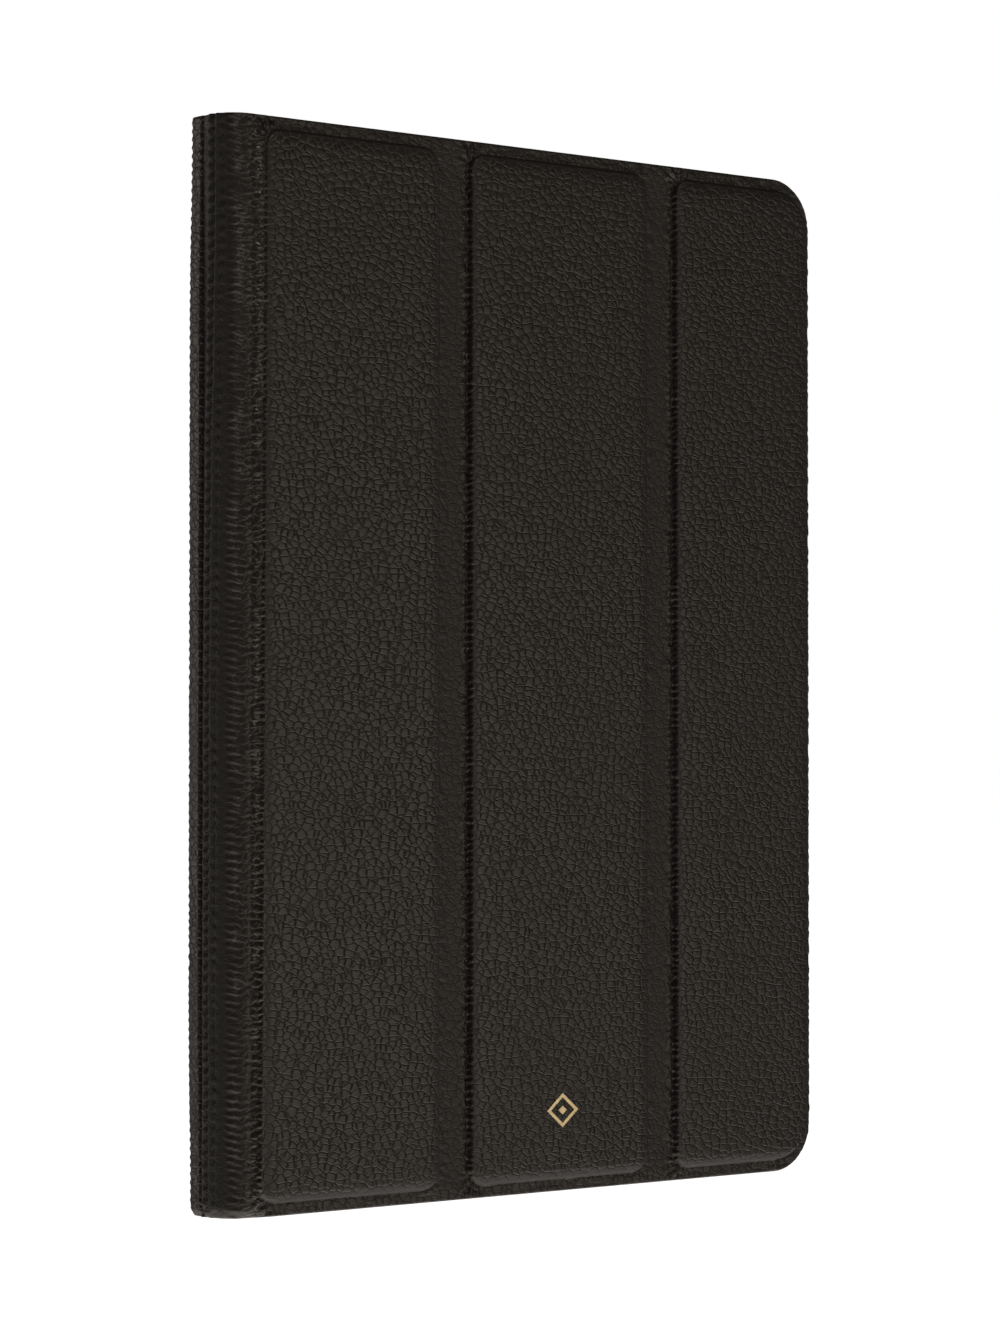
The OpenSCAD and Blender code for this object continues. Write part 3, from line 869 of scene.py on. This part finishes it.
def strip_creases(s, z, d):
    """Level creases across the strip of hide that wraps the spine side."""
    strip = (1 - ease(s, S_BACK - 0.5, S_BACK + 2)) * (d > FLAP_D + 0.3)
    sway = lattice(z / 8, s / 6, 51)
    level = np.cos(2 * math.pi * (z + 0.1 * s) / CREASE_PITCH + 2.4 * sway)
    uneven = 0.8 + 0.5 * lattice(z / 6, s / 3, 52)
    return CREASE_DEPTH * strip * (np.maximum(level, -0.3) - 0.8) * uneven


def strip_swell(s, z, d):
    """How far the strip swells past the seam, most in the middle of its height."""
    most = SWELL_ENDS + SWELL_MIDDLE * ease(z, 0, 50) * (1 - ease(z, CASE_H - 50, CASE_H))
    return most * ease(d, FLAP_D - 0.1, FLAP_D + 0.6) * (1 - ease(s, S_BACK - 1, S_BACK + 5))


def window_rim(a, s, z):
    """The rounded edge of the camera window and the pressed line round it."""
    ring = np.hypot(a - WINDOW_A, z - WINDOW_Z) - WINDOW_R
    return np.where(s > S_BACK + 5, edge_roll(ring, 0.5) * (ring > -0.2) + 0.12 * hump(ring, 1.6, 0.5), 0)


def back_relief(s, z):
    """Height of the back hide's face over the back's path, in millimetres."""
    a, d, _, _ = back_path(s)
    e = back_edge(a, s, z)
    on_back = s > S_BACK
    board = 0.10 * hump(e, HEM + 0.4, 0.8) * on_back
    broad = 0.035 * lattice(a / 19, z / 19, 53) * on_back * ease(e, 0.6, 6)
    foot = toe_curl(s, z, S_BACK, S_BACK + 12, BACK_TOE_CURL)
    raised = strip_creases(s, z, d) + strip_swell(s, z, d) + broad
    return raised - board - foot - edge_roll(e) - window_rim(a, s, z)


def back_face(s, z):
    s = back_drawn(s, z)
    return offset(back_path(s), np.minimum(back_relief(s, z), SWELL_MOST), z)


def back_behind(s, z):
    """The back hide's flesh side. The hem is turned in double and the tongue is thin."""
    s = back_drawn(s, z)
    way = back_path(s)
    full = np.where((back_edge(way[0], s, z) < HEM) & (s > S_BACK + 2), HEM_T, LEATHER)
    thick = np.where(s < TUCK_S + 0.6, 0.4, full)
    return offset(way, -thick, z)


def back_grain(s, z):
    """The strip's grain is drawn thin and a little polished, and the thin grain paints it a little darker,
    as painted shade.
    """
    on_back = ease(s, S_BACK, S_BACK + 4)
    return 0.7 + 0.3 * on_back, 0.6 * (1 - on_back)


def back_stations():
    """Stations across the back face, close together at the window and the hem."""
    end = back_s(CASE_W)
    legs = [(back_s(WINDOW_A - WINDOW_R - 2), 3.2), (back_s(WINDOW_A + WINDOW_R + 2), 0.5)]
    legs += [(end - HEM - 0.1, 0.8), (end - HEM + 0.1, 0.2), (end - 0.55, 0.6)]
    return np.concatenate([run(back_s(SPLIT_BACK), *legs), end - EDGE_ROWS[::-1]])


def back_rows():
    """Rows up the back face, close together at the window and the hem."""
    legs = [(HEM - 0.1, 0.5), (HEM + 0.1, 0.2), (14, 0.8), (WINDOW_Z - 9, 2.4), (WINDOW_Z + 9, 0.5)]
    legs += [(CASE_H - HEM - 0.1, 0.8), (CASE_H - HEM + 0.1, 0.2), (CASE_H - EDGE_RUN, 0.5)]
    return np.concatenate([EDGE_ROWS, run(EDGE_RUN, *legs), CASE_H - EDGE_ROWS[::-1]])


strip_run = run(0, (TUCK_S + 0.7, 0.25), (S_BACK + 0.5, 0.3), (back_s(SPLIT_BACK), 1.2))
strip_rows = heights(0, CASE_H, 0.45)
strip_hide = (back_face, back_behind, HIDE_TURNED, back_grain)
hide_strip = sheet("hide_back_strip", strip_run, strip_rows, *strip_hide)
hide_back = sheet("hide_back", back_stations(), back_rows(), back_face, back_behind, HIDE, back_grain)


def cut_window(piece):
    """Cuts the camera window through a piece."""
    clear_choice()
    bpy.ops.mesh.primitive_cylinder_add(
        vertices=96,
        radius=WINDOW_R * MM,
        depth=0.1,
        location=tuple(placed(WINDOW_A, CASE_D / 2, WINDOW_Z)),
        rotation=(math.pi / 2, 0, 0),
    )
    cutter = bpy.context.object
    choose(piece)
    hole = piece.modifiers.new("window", "BOOLEAN")
    hole.operation = "DIFFERENCE"
    hole.solver = "EXACT"
    hole.object = cutter
    bpy.ops.object.modifier_apply(modifier=hole.name)
    bpy.data.objects.remove(cutter)


cut_window(hide_back)
for piece in (hide_strip, hide_back):
    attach(piece, "back")
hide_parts("back_leather")


# ---------------------------------------------------------------------------------------------
# Stitches, foil and the parts carried over from the frame
# ---------------------------------------------------------------------------------------------
def thread_row(name, points, length, radius, lean):
    """A row of stitches: one is made and leaned over, then copied to each point and joined."""
    clear_choice()
    bpy.ops.mesh.primitive_uv_sphere_add(segments=8, ring_count=6, radius=1)
    stitch = bpy.context.object
    stitch.name = name
    bpy.ops.object.mode_set(mode="EDIT")
    bpy.ops.mesh.select_all(action="SELECT")
    bpy.ops.transform.resize(value=(radius * MM, radius * MM, length / 2 * MM))
    bpy.ops.transform.rotate(value=lean, orient_axis="X", center_override=(0, 0, 0))
    bpy.ops.object.mode_set(mode="OBJECT")
    one = coordinates(stitch)
    copies = []
    for point in points[1:]:
        copy = stitch.copy()
        copy.data = stitch.data.copy()
        copy.data.vertices.foreach_set("co", (one + point).ravel())
        bpy.context.collection.objects.link(copy)
        copies.append(copy)
    stitch.data.vertices.foreach_set("co", (one + points[0]).ravel())
    choose(stitch)
    for copy in copies:
        copy.select_set(True)
    bpy.ops.object.join()
    bpy.ops.object.shade_smooth()
    stitch.data.materials.clear()
    stitch.data.materials.append(THREAD)
    return stitch


def on_seam(z, d, proud):
    """A point over the hide near the seam, at a depth and a height."""
    level = d - seam_drift(z)
    turned = SIDE_L + SPINE_R * np.arcsin(np.clip((SPINE_R - level) / SPINE_R, 0, 1))
    s = np.where(FLAP_D - level > SIDE_L, turned, FLAP_D - level)
    return offset(path(s), cover_relief(s, z) + proud, z)


stitch_z = np.arange(FIRST_STITCH_Z, CASE_H - FIRST_STITCH_Z, STITCH_PITCH)
seam_points = on_seam(stitch_z, ROW_D, proud=0.05)
spine_points = on_seam(stitch_z, SECOND_ROW_D, proud=0.0)
seam_thread = thread_row("seam_thread", seam_points, length=2.15, radius=0.24, lean=0.10)
spine_thread = thread_row("spine_thread", spine_points, length=1.5, radius=0.2, lean=-0.12)
bend(seam_thread, "back", "spine", *SEAM_BEND)
bend(spine_thread, "back", "spine", *SEAM_BEND)
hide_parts("seam_stitches")
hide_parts("spine_stitches")


def motif_rise():
    """Highest point of the hide's face under the foil, in millimetres."""
    low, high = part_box("foil_motif")
    across = np.linspace(low.x - SPINE_X, high.x - SPINE_X, 30) / MM
    a, z = np.meshgrid(across, np.linspace(low.z, high.z, 30) / MM)
    return cover_relief(s_of(a), z).max()


FOIL_T = 0.12
FOIL_LINE = 0.8
FOIL_CORE = 2.6


def lozenge(name, width, height, line):
    """A flat lozenge that stands proud of panel 2. With a line width it is open in the middle."""
    clear_choice()
    low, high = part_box("foil_motif")
    centre = (low + high) / 2
    proud = 0.07
    face = FRONT_Y - (motif_rise() + proud) * MM
    bpy.ops.mesh.primitive_circle_add(vertices=4, radius=1, fill_type="NGON", rotation=(math.pi / 2, 0, 0))
    piece = bpy.context.object
    piece.name = name
    bpy.ops.object.transform_apply(location=False, rotation=True, scale=False)
    bpy.ops.object.mode_set(mode="EDIT")
    bpy.ops.mesh.select_all(action="SELECT")
    bpy.ops.transform.resize(value=(width / 2, 1, height / 2))
    if line:
        bpy.ops.mesh.inset(thickness=line, depth=0)
        bpy.ops.mesh.delete(type="FACE")
        bpy.ops.mesh.select_all(action="SELECT")
    bpy.ops.mesh.subdivide(number_cuts=3)
    bpy.ops.mesh.extrude_region_move(TRANSFORM_OT_translate={"value": (0, FOIL_T * MM, 0)})
    bpy.ops.mesh.select_all(action="SELECT")
    bpy.ops.mesh.normals_make_consistent(inside=False)
    bpy.ops.object.mode_set(mode="OBJECT")
    piece.location = (centre.x, face, centre.z)
    bpy.ops.object.transform_apply(location=True, rotation=False, scale=False)
    piece.data.materials.append(GOLD)
    return piece


motif_low, motif_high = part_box("foil_motif")
motif_w = motif_high.x - motif_low.x
motif_h = motif_high.z - motif_low.z
foil_line = lozenge("foil_lozenge", motif_w, motif_h, FOIL_LINE * MM)
foil_core = lozenge("foil_core", FOIL_CORE * MM, FOIL_CORE * MM * motif_h / motif_w, 0)
for piece in (foil_line, foil_core):
    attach(piece, "panel_2")
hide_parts("foil_motif")


def softened(node, name, width, material, body):
    """A carried-over part with its sharp edges rounded, as moulding or cutting leaves them."""
    clear_choice()
    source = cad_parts[node]
    piece = bpy.data.objects.new(name, source.data.copy())
    bpy.context.collection.objects.link(piece)
    choose(piece)
    bpy.ops.object.mode_set(mode="EDIT")
    bpy.ops.mesh.select_all(action="SELECT")
    bpy.ops.mesh.remove_doubles(threshold=1e-6)
    bpy.ops.mesh.dissolve_limited(angle_limit=math.radians(0.5))
    bpy.ops.object.mode_set(mode="OBJECT")
    bevel = piece.modifiers.new("edges", "BEVEL")
    bevel.width = width * MM
    bevel.segments = 2
    bevel.limit_method = "ANGLE"
    bevel.angle_limit = math.radians(40)
    bpy.ops.object.modifier_apply(modifier=bevel.name)
    bpy.ops.object.shade_smooth_by_angle(angle=math.radians(35))
    piece.data.materials.clear()
    piece.data.materials.append(material)
    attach(piece, body)
    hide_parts(node)


softened("tray", "tray_shell", 0.22, SHELL, "back")
softened("tray_pad", "tray_pad_nap", 0.08, NAP, "back")
softened("back_lining", "back_lining_nap", 0.1, NAP, "back")


def finish_node(node, material):
    """Gives a carried-over part its material."""
    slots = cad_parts[node].data.materials
    slots.clear()
    slots.append(material)


for node in ("back_board", "panel_1_board", "panel_2_board", "panel_3_board"):
    finish_node(node, BOARD)
for node in ("stand_magnets", "closure_magnets", "wake_magnet"):
    finish_node(node, NICKEL)


# ---------------------------------------------------------------------------------------------
# Floor, backdrop, lights and camera
# ---------------------------------------------------------------------------------------------
def pale_stage():
    """A pale floor that only the camera sees. It throws no light or shadow on the case."""
    clear_choice()
    bpy.ops.mesh.primitive_plane_add(size=8, location=(0, 0, 0))
    floor = bpy.context.object
    floor.name = "pale_floor"
    paper = Finish("pale_paper", Roughness=0.9, Specular_IOR_Level=0.1, Emission_Strength=1.0)
    mottle = paper.noise(30.0, 2.0)
    paper.feed("Base Color", paper.mix(mottle, grey(0.86), grey(0.9)))
    paper.shader.inputs["Emission Color"].default_value = (1.0, 1.0, 1.0, 1.0)
    floor.data.materials.append(paper.material)
    floor.visible_diffuse = False
    floor.visible_glossy = False
    floor.visible_shadow = False


WARM = (1.0, 0.95, 0.89)


def softbox(name, azimuth, elevation, distance, width, height, power):
    """A rectangular soft light that faces the case. Azimuth 0 is in front of the cover and 90 on its free
    side."""
    clear_choice()
    turn, lift = math.radians(azimuth), math.radians(elevation)
    away = Vector((math.sin(turn) * math.cos(lift), -math.cos(turn) * math.cos(lift), math.sin(lift)))
    aim = Vector((0, 0, CASE_H / 2 * MM))
    bpy.ops.object.light_add(type="AREA", location=aim + away * distance)
    lamp = bpy.context.object
    lamp.name = name
    lamp.rotation_euler = (-away).to_track_quat("-Z", "Y").to_euler()
    lamp.data.shape = "RECTANGLE"
    lamp.data.size = width
    lamp.data.size_y = height
    lamp.data.energy = power
    lamp.data.color = WARM


# The room is brightest from below, as over a white table, and dim from the horizon up.
TABLE_GLOW = 2.0
ROOM_GLOW = 0.045
TABLE_END = -0.75
ROOM_START = -0.36


def studio_room():
    """White to the camera. All else sees a table's glow below and a dim room above."""
    world = bpy.data.worlds.new("studio")
    world.use_nodes = True
    room = world.node_tree
    backdrop = room.nodes["Background"]
    backdrop.inputs["Color"].default_value = (1.0, 1.0, 1.0, 1.0)
    towards = room.nodes.new("ShaderNodeTexCoord")
    level = room.nodes.new("ShaderNodeSeparateXYZ")
    bounce = room.nodes.new("ShaderNodeMapRange")
    bounce.inputs["From Min"].default_value = TABLE_END
    bounce.inputs["From Max"].default_value = ROOM_START
    bounce.inputs["To Min"].default_value = TABLE_GLOW
    bounce.inputs["To Max"].default_value = ROOM_GLOW
    seen = room.nodes.new("ShaderNodeLightPath")
    glow = room.nodes.new("ShaderNodeMapRange")
    room.links.new(towards.outputs["Generated"], level.inputs["Vector"])
    room.links.new(level.outputs["Z"], bounce.inputs["Value"])
    room.links.new(bounce.outputs["Result"], glow.inputs["To Min"])
    room.links.new(seen.outputs["Is Camera Ray"], glow.inputs["Value"])
    room.links.new(glow.outputs["Result"], backdrop.inputs["Strength"])
    bpy.context.scene.world = world


pale_stage()
softbox("key_softbox", azimuth=30, elevation=-5, distance=1.6, width=0.6, height=0.9, power=2.7)
softbox("top_softbox", azimuth=-4, elevation=50, distance=1.4, width=0.4, height=0.4, power=3.2)
softbox("side_softbox", azimuth=-142, elevation=6, distance=1.6, width=0.8, height=1.1, power=4.0)
studio_room()
bpy.context.scene.view_settings.view_transform = "Standard"

CAMERA_AT = (-0.6259, -0.7549, 0.1063)
CAMERA_TURN = (math.radians(91.334), 0, math.radians(-39.405))
CAMERA_LENS = 107.27
clear_choice()
bpy.ops.object.camera_add(location=CAMERA_AT, rotation=CAMERA_TURN)
camera = bpy.context.object
camera.data.sensor_width = 36
camera.data.lens = CAMERA_LENS
camera.data.clip_start = 0.01
bpy.context.scene.camera = camera
